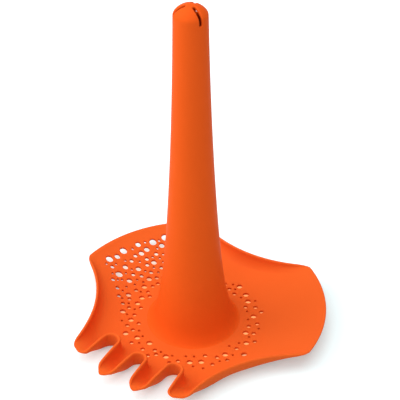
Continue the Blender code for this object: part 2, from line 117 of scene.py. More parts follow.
# Blade: sieve holes, as diameters, with the number of steps round each
HOLE_DIAMETERS = {"s": 2.1, "m": 3.4, "l": 4.6, "x": 5.9}
HOLE_STEPS = {"s": 14, "m": 18, "l": 24, "x": 28}
HOLE_LIP = 0.25
HOLE_LIP_TURNS = (45, 90)
HOLE_WEB = 0.7
HOLE_BORDER = 4.5

# Handle: down the cone, TAPER is added to its radius evenly and BELLY as a square. FLARE
# and the foot's fillet die out above the foot over FLARE_REACH and FOOT_REACH.
TIP_RADIUS = 12.2
TAPER = 4.1
BELLY = 10.0
FLARE = 7.4
FLARE_REACH = 22.75
FOOT_REACH = 2.8
FOOT_BLEND = 5.0
FOOT_RISE = 0.25
DOME_HEIGHT = 7.0
CREASE_SOFTNESS = 1.5
HANDLE_WALL = 2.2
CLEARANCE = 0.3

# Handle: slots in the tip
SLOT_COUNT = 3
SLOT_TURN = -20.0
SLOT_WIDTH = 2.4
SLOT_START = 3.4
SLOT_DROP = 4.8
SLOT_LIP = 1.0
SLOT_LIP_TURNS = (15, 30, 45, 60, 75, 90)
SLOT_TURNS = [SLOT_TURN + 360 * number / SLOT_COUNT for number in range(SLOT_COUNT)]

# Fineness: the blade's edge, the nets and how far their loose points keep from the loops
EDGE_STEP = 0.6
RIM_STEP = 1.0
LEAST_ARC_STEPS = 3
FIELD_STEP = 0.05
PLACES_AT_ONCE = 2000
GRID_ROW = 0.866
NET_TOLERANCE = 1e-6
NET_PITCH = 2.2
FINE_NET_REACH = 1.0
NET_FROM_STRIP = 0.6
NET_FROM_SEAT = 1.2
NET_FROM_HOLE = 0.7
TIP_NET_PITCH = 0.6
NET_FROM_TIP_END = 0.4
NET_FROM_SLOT = 0.35
SHARP_ANGLE = 50.0

# Fineness: the handle's profile, the slotted tip and the rows below it
DOME_POINTS = 120
CONE_POINTS = 2400
PARABOLA_POINTS = 60
SLOPE_STEP = 0.5
TIP_DEPTH = 18.0
TURN_STEPS = 160
CONE_ROWS = 89
ROW_POWER = 1.6
SLOT_BEND_POINTS = 11
SLOT_SIDE_STEPS = 25
TINY = 1e-9

# Hole centres: how far out, in hundredths of the way from the handle's foot to the end
# of a lobe, then each hole's angle from +X in degrees with the letter of its size.
HOLE_ROWS = (
    (81.3, "128x 139x 150s 154l 163x 172.5x"),
    (78.7, "124s 132m 135s 142.5s 146x 158s 168l 176s"),
    (71.5, "121s 125m 129s 138m 142l 151l 172s 175m"),
    (69, "134l 145s 155l 159m 166s"),
    (65, "122m 137s 163m 178.5s"),
    (62, "118s 131l 147m 169l"),
    (59.2, "124l 138m 143s 150s 154m 159s 176x 182m"),
    (55, "119s 129s 133s 146s 167s 172s 180s"),
    (51.5, "115m 137l 142s 151l 156m 163l 178s"),
    (48.3, "122s 132s 145s 169m 186m"),
    (44.6, "110s 118m 126l 138s 142m 153s 160s 175l"),
    (41, "114l 131s 148m 165m 181s 186s 192m"),
    (39.6, "122s 136m 157m 170s"),
    (36, "109m 127m 141s 152s 175s 193s"),
    (32.2, "118l 133l 162l 168s 187l 198m 311.5s 346l"),
    (29, "106s 125m 139s 156m 179m 207l 218s"),
    (28, "191m 233l 245.3m 265.4m 304s 319.4m 332m 3m"),
    (26, "40m 284.6m 326s 142m 152s 171l 196s"),
    (24.3, "55s 112m 120s 131s 257m 339s 19s"),
    (23.3, "78.5l 104l 178s 201m 210s 224m"),
    (21, "47m 84.5s 249s 270m 291m 301l 311l 358l 12m 25m"),
    (19.7, "66.3l 97l 127l 137m 148s 159m 165m"),
    (18.5, "111s 119m 217l 231m 242l 279l 326m 334l 347m 6s"),
    (16.2, "57l 78.5s 91m 143s 174m 184l 193l 202s 35l 266m"),
    (14.6, "103l 132l 210m 272s 284s 354s"),
    (12, "65s 83.3m 124m 234s 243s 255l 297s 305s 316m 10l 20m"),
    (9.8, "43s 50m 74m 94s 111l 117s 139s 147l 178m 198.5m 223m 344s 30s"),
)

# Camera: place from the handle's foot, and angles in degrees. It looks along the bearing
# and down by the slope. CAMERA_NEAR, where its view begins, is in metres.
CAMERA_BEARING = 34.04
CAMERA_SLOPE = 37.16
CAMERA_ASIDE = 5.7
CAMERA_BACK = 818.2
CAMERA_UP = 737.3
CAMERA_ROLL = -0.28
CAMERA_LENS = 126.0
CAMERA_SENSOR = 36.0
CAMERA_NEAR = 0.01

# Lamps: name, then its place aside, beyond and above the tool as the camera's bearing has
# them and its size, all in metres, and its watts. All aim at the tool at AIM_HEIGHT.
LAMPS = (
    ("top", 0.0, 0.0, 2.2, 2.4, 26),
    ("left", -1.6, 0.1, 1.2, 1.6, 21),
    ("front", -1.0, -1.6, 1.6, 1.6, 12),
)
AIM_HEIGHT = 0.08

# World: how strong it is as a light, and where it is seen directly
WORLD_LIGHT = 0.47
WORLD_SEEN = 1.0

# Plastic: spark texture, and gloss patches whose noise changes the gloss and the tint
# within the spreads. The bump's distance is in metres.
GRAIN_SCALE = 2600.0
GRAIN_DETAIL = 3.0
GRAIN_ROUGHNESS = 0.55
PATCH_SCALE = 28.0
PATCH_DETAIL = 2.0
PATCH_ROUGHNESS = 0.5
GLOSS_SPREAD = (0.3, 0.7)
TINT_SPREAD = (0.35, 0.75)
ROUGHNESS_LOW = 0.42
ROUGHNESS_HIGH = 0.5
BUMP_STRENGTH = 0.12
BUMP_DISTANCE = 0.00012
PLASTIC_IOR = 1.49
PLASTIC_SPECULAR = 0.02
BLADE_COLOURS = ((0.82, 0.122, 0.019, 1), (0.80, 0.118, 0.018, 1))
# painted shade: the same plastic as the blade, with less green and blue for its shaded wall
HANDLE_COLOURS_WITH_PAINTED_SHADE = ((0.82, 0.103, 0.011, 1), (0.80, 0.100, 0.010, 1))

# Floor: colour, glow and the glow's strength far from the tool. Soft round patches lie
# over it, each over those before: how far its middle is from the axis towards the sieve,
# where it starts to fade and where it ends, in millimetres, then the same three looks.
# The first is a cool tint near the tool. The other two are painted light: a cream glow
# under the sieve and an orange glow under the foot, for light that the plastic lets
# through onto the floor in its shadow.
FLOOR_HALF = 4.0
FLOOR_FAR = ((0.8, 0.8, 0.8, 1), (1, 1, 1, 1), 0.85)
FLOOR_TINTS_AND_PAINTED_LIGHT = (
    (0, 300, 1000, (0.74, 0.845, 0.86, 1), (0.86, 1, 1, 1), 0.31),
    # painted light: cream colour and glow on the floor under the sieve lobe
    (60, 26, 42, (0.80, 0.79, 0.68, 1), (1, 0.92, 0.76, 1), 0.66),
    # painted light: orange colour and glow on the floor under the handle's foot
    (0, 52, 76, (0.80, 0.29, 0.11, 1), (1, 0.40, 0.14, 1), 0.68),
)


def directions(degrees):
    """Unit vectors in plan, one for each angle from +X in degrees."""
    angles = np.radians(degrees)
    return np.stack([np.cos(angles), np.sin(angles)], axis=-1)


def circle(centre, radius, steps):
    """Points round a circle in plan."""
    return centre + radius * directions(360 * np.arange(steps) / steps)


def smooth_step(share):
    """Soft S from 0 to 1: three times the share's square less twice its cube."""
    return share**2 * (3 - 2 * share)


class Moulding:
    """Points and faces of one closed moulding, in millimetres about the handle's axis."""

    def __init__(self):
        self.points = []
        self.faces = []
        self.count = 0

    def add(self, points):
        """Take points in and give back their numbers."""
        numbers = np.arange(self.count, self.count + len(points))
        self.points.append(points)
        self.count += len(points)
        return numbers

    def fill(self, faces, turned=False):
        """Take faces in as rows of point numbers, turned over where asked."""
        self.faces += (faces[:, ::-1] if turned else faces).tolist()

    def band(self, rings, turned=False):
        """Quads from each closed ring of point numbers to the next one."""
        for upper, lower in zip(rings, rings[1:]):
            corners = [upper, lower, np.roll(lower, -1), np.roll(upper, -1)]
            self.fill(np.stack(corners, axis=-1), turned)

    def lathe(self, profile, first, last, turned=False):
        """Bands round the axis from one ring to another, by way of radii and heights."""
        rings = [first]
        for radius, height in profile:
            ring = circle(MIDDLE, radius, TURN_STEPS)
            rings.append(self.add(np.column_stack([ring, np.full(TURN_STEPS, height)])))
        self.band([*rings, last], turned)

    def finished(self, name, low=-math.inf, high=math.inf):
        """Mesh object, its points kept between low and high, shaded smooth but for edges."""
        places = np.clip(np.concatenate(self.points), low, high)
        places[:, :2] += AXIS
        mesh = bpy.data.meshes.new(name)
        mesh.from_pydata((places * MM).tolist(), [], self.faces)
        mesh.shade_smooth()
        mesh.set_sharp_from_angle(angle=math.radians(SHARP_ANGLE))
        piece = bpy.data.objects.new(name, mesh)
        bpy.context.scene.collection.objects.link(piece)
        return piece


def lip_steps(radius, turns):
    """Quarter round lip of a hole: how far aside and down it is after each turn."""
    return [(radius * (1 - math.sin(turn)), radius * (1 - math.cos(turn)))
            for turn in np.radians(turns)]


# Outline of the blade

def corner_circles(lobe_angle, lobe_radius):
    """Two rounding circles of a lobe: inside its end circle, touching the hollow edges."""
    corner_distance = lobe_radius - CORNER_RADIUS
    hollow_distance = HOLLOW_NEAREST + HOLLOW_RADIUS
    touching = HOLLOW_RADIUS + CORNER_RADIUS
    cosine = (corner_distance**2 + hollow_distance**2 - touching**2) / (
        2 * corner_distance * hollow_distance)
    from_lobe = HALF_SECTOR - math.degrees(math.acos(cosine))
    return [(corner_distance * directions(lobe_angle + turn), CORNER_RADIUS)
            for turn in (-from_lobe, from_lobe)]


def hollow_circle(middle_angle):
    """Circle of a hollow edge between two lobes: its centre lies outside the blade."""
    return (HOLLOW_NEAREST + HOLLOW_RADIUS) * directions(middle_angle), -HOLLOW_RADIUS


def in_rake(side, out):
    """Point beside the rake's axis, at a distance out along it."""
    return directions(RAKE_ANGLE) * out + directions(RAKE_ANGLE + 90) * side


def prong_tip(side):
    """Three circles of an inner prong's tip: two wide side arcs and the round end."""
    shift = TIP_ARC_RADIUS - PRONG_HALF_WIDTH
    rise = math.sqrt((TIP_ARC_RADIUS - PRONG_TIP_RADIUS)**2 - shift**2)
    end_out = PRONG_REACH - PRONG_TIP_RADIUS
    return [(in_rake(side + shift, end_out - rise), TIP_ARC_RADIUS),
            (in_rake(side, end_out), PRONG_TIP_RADIUS),
            (in_rake(side - shift, end_out - rise), TIP_ARC_RADIUS)]


def rake_circles():
    """Circles that the rake's edge runs round, from one side to the other.

    The middle of an outer prong lies one and a half pitches to the side. The outer prongs
    end on a circle about the axis, with a rounding circle at each corner. Each gap has one
    circle that lies outside the blade.
    """
    end = (MIDDLE, PRONG_REACH)
    inner_side = 1.5 * PRONG_PITCH - OUTER_HALF_WIDTH + INNER_CORNER_RADIUS
    inner_out = math.sqrt((PRONG_REACH - INNER_CORNER_RADIUS)**2 - inner_side**2)
    gap_out = math.sqrt(SIDE_GAP_DISTANCE**2 - PRONG_PITCH**2)
    first, last = corner_circles(RAKE_ANGLE, PRONG_REACH)
    return [first, end, (in_rake(-inner_side, inner_out), INNER_CORNER_RADIUS),
            (in_rake(-PRONG_PITCH, gap_out), -SIDE_GAP_RADIUS),
            *prong_tip(-PRONG_PITCH / 2),
            (in_rake(0, GAP_END_DISTANCE), -MIDDLE_GAP_RADIUS),
            *prong_tip(PRONG_PITCH / 2),
            (in_rake(PRONG_PITCH, gap_out), -SIDE_GAP_RADIUS),
            (in_rake(inner_side, inner_out), INNER_CORNER_RADIUS), end, last]


def outline(step_length):
    """Belt round the blade's circles: points and inward normals.

    On each circle the belt's heading turns from the tangent it arrives on to the tangent
    it leaves on, and a point lies one radius to the right of its heading. A straight run
    joins one circle to the next.
    """
    circles = []
    for lobe_angle in (SHOVEL_ANGLE, SIEVE_ANGLE):
        first, last = corner_circles(lobe_angle, LOBE_RADIUS)
        circles += [first, (MIDDLE, LOBE_RADIUS), last, hollow_circle(lobe_angle + HALF_SECTOR)]
    circles += [*rake_circles(), hollow_circle(RAKE_ANGLE + HALF_SECTOR)]
    centres = np.array([centre for centre, _ in circles])
    radii = np.array([radius for _, radius in circles])
    reach = np.roll(centres, -1, axis=0) - centres
    growth = np.roll(radii, -1) - radii
    runs = np.sqrt(np.maximum((reach**2).sum(1) - growth**2, 0))
    headings = np.arctan2(reach[:, 1], reach[:, 0]) - np.arctan2(growth, runs)
    turns = (headings - np.roll(headings, 1)) % (2 * np.pi)
    turns[radii < 0] -= 2 * np.pi
    points = []
    normals = []
    for centre, radius, heading, turn, run in zip(centres, radii, headings, turns, runs):
        steps = max(round(abs(turn * radius) / step_length), LEAST_ARC_STEPS)
        angles = heading - turn + turn * np.arange(steps) / steps
        inward = np.stack([-np.sin(angles), np.cos(angles)], axis=-1)
        points.append(centre - radius * inward)
        normals.append(inward)
        straight = round(run / step_length)
        if straight:
            ahead = np.array([math.cos(heading), math.sin(heading)])
            inward = np.array([-ahead[1], ahead[0]])
            shares = np.arange(straight) / straight
            points.append(centre - radius * inward + run * shares[:, None] * ahead)
            normals.append(np.tile(inward, (straight, 1)))
    return np.concatenate(points), np.concatenate(normals)


OUTLINE_FINE = outline(EDGE_STEP)
EDGE = OUTLINE_FINE[0] + OUTLINE_FINE[1] * SHEET / 2


def in_parts(places):
    """The places in parts, each shorter than twice PLACES_AT_ONCE, to save memory."""
    return np.array_split(places, max(len(places) // PLACES_AT_ONCE, 1))


def edge_sums(places, measure):
    """Measure of the squared distances from each place to all pieces of the edge."""
    following = np.roll(EDGE, -1, axis=0)
    middles = (EDGE + following) / 2
    lengths = np.hypot(*(following - EDGE).T)
    values = []
    for part in in_parts(places):
        squared = ((part[:, None] - middles[None])**2).sum(2)
        values.append(measure(squared, lengths))
    return np.concatenate(values)


def soft_distance(places):
    """Smooth distance to the edge, without a crease along the middle of a prong.

    The edge's pieces are summed as length over distance to the eighth power. Along a
    straight edge that sum is 5 pi / 16 over the seventh power of the distance.
    """
    total = edge_sums(places, lambda squared, lengths: (lengths / squared**4).sum(1))
    return (5 * math.pi / 16 / total)**(1 / 7)


def plain_distance(places):
    """Distance to the middle of the nearest piece of the edge."""
    return np.sqrt(edge_sums(places, lambda squared, lengths: squared.min(1)))


def is_inside(places, edge):
    """Whether each place lies inside a closed polygon, by counting crossings."""
    following = np.roll(edge, -1, axis=0)
    inside = []
    for part in in_parts(places):
        x, y = part[:, 0, None], part[:, 1, None]
        straddles = (edge[:, 1] > y) != (following[:, 1] > y)
        rise = np.where(following[:, 1] == edge[:, 1], 1.0, following[:, 1] - edge[:, 1])
        crossing = edge[:, 0] + (y - edge[:, 1]) * (following[:, 0] - edge[:, 0]) / rise
        inside.append((straddles & (x < crossing)).sum(1) % 2 == 1)
    return np.concatenate(inside)


# Height of the blade's sheet

def rake_share(places):
    """How much each place belongs to the rake: 1 near its middle, a smooth step to 0."""
    azimuth = np.degrees(np.arctan2(places[:, 1], places[:, 0]))
    from_rake = np.abs((azimuth - RAKE_ANGLE + 180) % 360 - 180)
    return smooth_step(1 - np.clip((from_rake - RAKE_FULL) / RAKE_FADE, 0, 1))


def rim_height(places):
    """Middle layer at the rim: level, and drooping ever faster along the prongs."""
    distance = np.hypot(places[:, 0], places[:, 1])
    out = np.clip((distance - GAP_END_DISTANCE) / (PRONG_REACH - GAP_END_DISTANCE), 0, 1)
    return RIM_HEIGHT - SHEET / 2 - PRONG_DROOP * out**DROOP_POWER * rake_share(places)


def dish_height(places):
    """Middle layer without the curl: flat, then rising to the rim at a lobe's end.

    The shovel and the sieve rise as a power of the distance. The prongs rise in a smooth
    step that starts near the ends of the gaps, and they end nearer and lower.
    """
    distance = np.hypot(places[:, 0], places[:, 1])
    rake = rake_share(places)
    full = np.clip((distance - FLAT_RADIUS) / (LOBE_RADIUS - SHEET / 2 - FLAT_RADIUS), 0, 1)
    prong = np.clip((distance - RAKE_FLAT_RADIUS) / (PRONG_REACH - RAKE_FLAT_RADIUS), 0, 1)
    risen = full**DISH_POWER * (1 - rake) + smooth_step(prong) * rake
    return SHEET / 2 + (RIM_HEIGHT - SHEET - PRONG_DROOP * rake) * risen


def sheet_height(places, depth):
    """Middle layer with the curl, a quarter ellipse that stands upright at the edge.

    The curl is wider and squarer on the rake, where it makes a trough of each prong.
    """
    base = dish_height(places)
    rim = np.maximum(rim_height(places), base)
    rake = rake_share(places)
    width = CURL_WIDTH + (RAKE_CURL_WIDTH - CURL_WIDTH) * rake
    power = CURL_POWER + (RAKE_CURL_POWER - CURL_POWER) * rake
    inward = 1 - np.clip(depth / width, 0, 1)
    return base + (rim - base) * (1 - (1 - inward**power)**(1 / power))


def thinning(places):
    """How much thinner the sheet is where the wall of the rim dies out."""
    wall = np.clip((rim_height(places) - dish_height(places)) / THINNING_WALL, 0, 1)
    return END_THINNING * (1 - smooth_step(wall))


def field_surface(places):
    """Height and unit normal of the middle layer away from the edge, by differences."""
    step = FIELD_STEP
    shifts = np.array([(0, 0), (step, 0), (-step, 0), (0, step), (0, -step)])
    stacked = (places[None] + shifts[:, None]).reshape(-1, 2)
    heights = sheet_height(stacked, soft_distance(stacked)).reshape(len(shifts), -1)
    across = (heights[1] - heights[2]) / (2 * step)
    along = (heights[3] - heights[4]) / (2 * step)
    normals = np.column_stack([-across, -along, np.ones(len(places))])
    return heights[0], normals / np.linalg.norm(normals, axis=1)[:, None]


# Sieve holes

def hole_table():
    """Centres, radii and steps of the holes that keep clear of the rim and each other."""
    kept = []
    for share, row in HOLE_ROWS:
        distance = FOOT_RADIUS + (LOBE_RADIUS - FOOT_RADIUS) * share / 100
        for entry in row.split():
            size = entry[-1]
            centre = distance * directions(float(entry[:-1]))
            radius = HOLE_DIAMETERS[size] / 2
            apart = all(math.dist(centre, other) > radius + wide + HOLE_WEB
                        for other, wide, _ in kept)
            if apart and distance - radius > FOOT_RADIUS + HOLE_WEB:
                kept.append((centre, radius, HOLE_STEPS[size]))
    depths = plain_distance(np.array([centre for centre, _, _ in kept]))
    return [hole for hole, depth in zip(kept, depths) if depth > hole[1] + HOLE_BORDER]


def hole_rings(centre, radius, middle, tilts, half):
    """Rings of a hole's wall from its upper lip to its lower lip.

    The last three are the sheet's middle, normals and half thickness at the loop round
    the hole. Each ring slides along the sheet's slope to its own radius, then goes up or
    down the normal by the half thickness less the lip's depth.
    """
    steps = len(middle)
    lips = lip_steps(HOLE_LIP, HOLE_LIP_TURNS)
    levels = [(aside, half - down) for aside, down in lips]
    levels += [(aside, down - half) for aside, down in reversed(lips)]
    rings = []
    for aside, level in levels:
        ring = circle(centre, radius + aside, steps)
        inset = np.column_stack([ring - middle[:, :2], np.zeros(steps)])
        inset[:, 2] = -(inset * tilts).sum(1) / tilts[:, 2]
        rings.append(middle + inset + tilts * level)
    return rings


# Net between open loops

def net_faces(loops, loose):
    """Delaunay net inside the first loop and round the others, through loose points."""
    places = np.concatenate([*loops, loose])
    sizes = np.array([len(loop) for loop in loops])
    starts = np.cumsum(sizes) - sizes
    owner = np.full(len(places), -1)
    lines = []
    for number, (start, size) in enumerate(zip(starts, sizes)):
        owner[start:start + size] = number
        ring = np.arange(start, start + size)
        lines += np.stack([ring, np.roll(ring, -1)], axis=-1).tolist()
    flat = [Vector(place) for place in places]
    net = delaunay_2d_cdt(flat, lines, [], 0, NET_TOLERANCE, True)
    source = np.array([ids[0] for ids in net[3]])
    triangles = source[np.array([list(triangle) for triangle in net[2]])]
    owners = owner[triangles]
    in_opening = (owners[:, 0] > 0) & (owners == owners[:, :1]).all(1)
    inside = is_inside(places[triangles].mean(1), loops[0])
    return places, triangles[inside & ~in_opening], starts


def triangle_grid(reach, pitch):
    """Points of a triangular grid that covers a square of half width reach."""
    most = math.ceil(reach / pitch / GRID_ROW)
    steps = np.arange(-most, most + 1)
    across, up = np.meshgrid(steps, steps)
    shift = np.where(up % 2, 0.5, 0.0)
    return np.column_stack([(across + shift).ravel(), (up * GRID_ROW).ravel()]) * pitch


# Blade

def curl_rows(points, normals):
    """Rows of the curled edge from the rim inwards, on the middle layer.

    A row's depth is CURL_WIDTH times one less the sine of an angle that falls from 90
    degrees at the rim, so the rows are even along the quarter ellipse. The depth fades
    from the true one at the rim to the smooth one at the last row.
    """
    last = math.asin(1 - STRIP_DEPTH / CURL_WIDTH)
    angles = np.linspace(math.pi / 2, last, CURL_ROWS)
    depths = CURL_WIDTH * (1 - np.sin(angles))
    plan = points[None] + normals[None] * depths[:, None, None]
    flat = plan[1:].reshape(-1, 2)
    soft = np.vstack([np.zeros(len(points)), soft_distance(flat).reshape(len(depths) - 1, -1)])
    fade = np.clip(depths / STRIP_DEPTH * (1 + FADE_DELAY) - FADE_DELAY, 0, 1)
    fade = smooth_step(fade)[:, None]
    depth = depths[:, None] * (1 - fade) + soft * fade
    height = sheet_height(plan.reshape(-1, 2), depth.ravel()).reshape(depth.shape)
    return np.concatenate([plan, height[..., None]], axis=-1)


def row_normals(rows):
    """Normals of a grid of rows, from the cross product of its two directions."""
    along = np.roll(rows, -1, axis=1) - np.roll(rows, 1, axis=1)
    inward = np.gradient(rows, axis=0)
    normals = np.cross(along, inward)
    return normals / np.linalg.norm(normals, axis=-1)[..., None]


def blade_grid(strip, holes):
    """Loose points of the blade's net, clear of its loops and twice as close in the curl."""
    coarse = triangle_grid(LOBE_RADIUS, NET_PITCH)
    coarse = coarse[is_inside(coarse, strip)]
    coarse = coarse[plain_distance(coarse) > CURL_WIDTH + FINE_NET_REACH]
    fine = triangle_grid(LOBE_RADIUS, NET_PITCH / 2)
    fine = fine[is_inside(fine, strip)]
    depth = plain_distance(fine)
    fine = fine[(depth > STRIP_DEPTH + NET_FROM_STRIP) & (depth < CURL_WIDTH + FINE_NET_REACH)]
    grid = np.concatenate([coarse, fine])
    grid = grid[np.hypot(*grid.T) > FOOT_RADIUS + NET_FROM_SEAT]
    for centre, radius, _ in holes:
        grid = grid[np.hypot(*(grid - centre).T) > radius + HOLE_LIP + NET_FROM_HOLE]
    return grid


def seat_profile():
    """Radii and heights round the blade's opening: ledge, collar and their chamfers."""
    outer = mouth_radius() - CLEARANCE
    inner = outer - COLLAR_WALL
    return [(FOOT_RADIUS + FOOT_GAP, LEDGE_THICKNESS), (outer, LEDGE_THICKNESS),
            (outer, COLLAR_HEIGHT - COLLAR_CHAMFER), (outer - COLLAR_CHAMFER, COLLAR_HEIGHT),
            (inner + COLLAR_CHAMFER, COLLAR_HEIGHT), (inner, COLLAR_HEIGHT - COLLAR_CHAMFER),
            (inner, OPENING_CHAMFER), (inner + OPENING_CHAMFER, 0.0)]


def blade_sheet():
    """The blade: two skins joined by the round rim, the holes' walls and the seat.

    Each skin lies half a thickness along the normals from the middle layer. It is a strip
    of curled rows along the rim and a net round the holes within it.
    """
    points, normals = outline(RIM_STEP)
    points = points + normals * SHEET / 2
    count = len(points)
    rows = curl_rows(points, normals)
    strip = rows[-1, :, :2]
    holes = hole_table()
    loops = [strip, circle(MIDDLE, FOOT_RADIUS + FOOT_GAP, TURN_STEPS)]
    loops += [circle(centre, radius + HOLE_LIP, steps) for centre, radius, steps in holes]
    places, triangles, starts = net_faces(loops, blade_grid(strip, holes))
    height, tilt = field_surface(places)
    height[:count] = rows[-1, :, 2]
    middle = np.vstack([rows[:-1].reshape(-1, 3), np.column_stack([places, height])])
    tilts = np.vstack([row_normals(rows)[:-1].reshape(-1, 3), tilt])
    thinner = thinning(middle[:, :2])[:, None]
    middle = middle + tilts * thinner / 2
    half = (SHEET - thinner) / 2

    blade = Moulding()
    upper = blade.add(middle + tilts * half)
    lower = blade.add(middle - tilts * half)
    net_start = (CURL_ROWS - 1) * count
    for start in range(0, net_start, count):
        row = np.arange(start, start + count)
        blade.band([upper[row], upper[row + count]], turned=True)
        blade.band([lower[row], lower[row + count]])
    blade.fill(upper[triangles + net_start])
    blade.fill(lower[triangles + net_start], turned=True)

    slope = rows[0] - rows[1]
    slope /= np.linalg.norm(slope, axis=1)[:, None]
    rim = []
    for turn in np.radians(RIM_TURNS):
        outward = slope * math.cos(turn) + tilts[:count] * math.sin(turn)
        rim.append(blade.add(middle[:count] + half[:count] * outward))
    blade.band([upper[:count], *rim, lower[:count]])

    for start, (centre, radius, steps) in zip(starts[2:] + net_start, holes):
        loop = np.arange(start, start + steps)
        rings = hole_rings(centre, radius, middle[loop], tilts[loop], half[loop])
        wall = [blade.add(ring) for ring in rings]
        blade.band([upper[loop], *wall, lower[loop]], turned=True)

    loop = np.arange(TURN_STEPS) + starts[1] + net_start
    blade.lathe(seat_profile(), upper[loop], lower[loop], turned=True)
    return blade.finished("blade_moulding", np.append(BLADE_LOW[:2] - AXIS, 0.0),
                          np.append(BLADE_HIGH[:2] - AXIS, RIM_HEIGHT))


# Handle

def cone_radius(height):
    """Cone with its flare: a straight taper, a squared belly and a dying exponential."""
    crease = HEIGHT - DOME_HEIGHT
    share = (crease - height) / crease
    return TIP_RADIUS + TAPER * share + BELLY * share**2 + FLARE * np.exp(
        -(height - SHEET) / FLARE_REACH)


def outer_radius(height):
    """Cone with the fillet that runs out to the edge of the foot."""
    fillet = FOOT_RADIUS - cone_radius(SHEET)
    return cone_radius(height) + fillet * np.exp(-(height - SHEET) / FOOT_REACH)


def mouth_radius():
    """Radius of the mouth: one wall inside the slanted cone at the collar's top."""
    height = COLLAR_HEIGHT + CLEARANCE
    rise = cone_radius(height + SLOPE_STEP) - cone_radius(height - SLOPE_STEP)
    slope = rise / (2 * SLOPE_STEP)
    return cone_radius(height) - HANDLE_WALL * math.hypot(1, slope)


def parabola(start, corner, end):
    """Points between start and end of the parabola that touches both lines to corner."""
    share = np.linspace(0, 1, PARABOLA_POINTS)[1:-1, None]
    return (1 - share)**2 * start + 2 * share * (1 - share) * corner + share**2 * end


def outer_profile():
    """Fine half section of the outside from the apex to the foot.

    The dome is an arc whose radius follows from its height and the cone's tip. Where it
    meets the cone, the two are joined by a parabola that both touch. Another parabola
    leads from the cone to the edge of the foot.
    """
    crease = HEIGHT - DOME_HEIGHT
    dome_radius = (TIP_RADIUS**2 + DOME_HEIGHT**2) / (2 * DOME_HEIGHT)
    edge = math.asin(TIP_RADIUS / dome_radius) - CREASE_SOFTNESS / dome_radius
    angles = np.linspace(0, edge, DOME_POINTS)
    dome = np.column_stack([np.sin(angles), np.cos(angles) - 1]) * dome_radius + (0, HEIGHT)
    heights = np.linspace(crease - CREASE_SOFTNESS, SHEET + FOOT_BLEND, CONE_POINTS)
    cone = np.column_stack([outer_radius(heights), heights])
    corner = np.array([float(outer_radius(crease)), crease])
    joint = parabola(dome[-1], corner, cone[0])
    slope = (cone[-1, 0] - cone[-2, 0]) / (cone[-2, 1] - cone[-1, 1])
    low = np.array([cone[-1, 0] + slope * (FOOT_BLEND - FOOT_RISE), SHEET + FOOT_RISE])
    foot = parabola(cone[-1], low, np.array([FOOT_RADIUS, SHEET]))
    return np.concatenate([dome, joint, cone, foot, [[FOOT_RADIUS, SHEET]]])


PROFILE = outer_profile()
ARC = np.concatenate([[0], np.cumsum(np.hypot(*np.diff(PROFILE, axis=0).T))])
PROFILE_SLOPE = np.gradient(PROFILE, ARC, axis=0)


def arc_at_height(height):
    """Arc length from the apex down to a height of the profile."""
    return float(np.interp(-height, -PROFILE[:, 1], ARC))


TIP_END = arc_at_height(HEIGHT - TIP_DEPTH)
SLOT_TOP = float(np.interp(SLOT_START, PROFILE[:, 0], ARC)) + SLOT_WIDTH / 2
SLOT_BOTTOM = arc_at_height(HEIGHT - DOME_HEIGHT - SLOT_DROP) - SLOT_WIDTH / 2


def shell_points(arc, angle, depth):
    """Points of the handle's wall: an arc length from the apex, a turn and a depth."""
    radius = np.interp(arc, ARC, PROFILE[:, 0])
    height = np.interp(arc, ARC, PROFILE[:, 1])
    run = np.interp(arc, ARC, PROFILE_SLOPE[:, 0])
    fall = np.interp(arc, ARC, PROFILE_SLOPE[:, 1])
    length = np.hypot(run, fall)
    radius = radius + fall / length * depth
    height = height - run / length * depth
    return np.column_stack([radius * np.cos(angle), radius * np.sin(angle), height])


def slot_loop(aside, turn):
    """Rounded slot of the tip, widened by aside: arc length and angle of its points."""
    half = SLOT_WIDTH / 2 + aside
    bend = np.linspace(-math.pi / 2, math.pi / 2, SLOT_BEND_POINTS)
    straight = np.linspace(0, 1, SLOT_SIDE_STEPS + 1)[1:-1]
    along = np.concatenate([SLOT_BOTTOM + half * np.cos(bend),
                            SLOT_BOTTOM + (SLOT_TOP - SLOT_BOTTOM) * straight,
                            SLOT_TOP - half * np.cos(bend),
                            SLOT_TOP + (SLOT_BOTTOM - SLOT_TOP) * straight])
    across = np.concatenate([half * np.sin(bend), np.full(len(straight), half),
                             -half * np.sin(bend), np.full(len(straight), -half)])
    return along, math.radians(turn) + across / np.interp(along, ARC, PROFILE[:, 0])


def tip_net(turns):
    """Net of the slotted tip, laid flat with the arc from the apex as its radius."""
    loops = [TIP_END * directions(np.degrees(turns))]
    for turn in SLOT_TURNS:
        along, angle = slot_loop(SLOT_LIP, turn)
        loops.append(along[:, None] * np.stack([np.cos(angle), np.sin(angle)], axis=-1))
    grid = triangle_grid(TIP_END, TIP_NET_PITCH)
    grid = grid[np.hypot(*grid.T) < TIP_END - NET_FROM_TIP_END]
    for loop in loops[1:]:
        gaps = np.sqrt(((grid[:, None] - loop[None])**2).sum(2).min(1))
        grid = grid[(gaps > NET_FROM_SLOT) & ~is_inside(grid, loop)]
    return net_faces(loops, grid)


def plain_inside(skin):
    """Inner skin without the foot's fillet: its radius never passes the mouth's."""
    radius = np.hypot(skin[:, 0], skin[:, 1])
    scale = np.minimum(mouth_radius() / np.maximum(radius, TINY), 1.0)
    skin[:, :2] *= scale[:, None]
    return skin


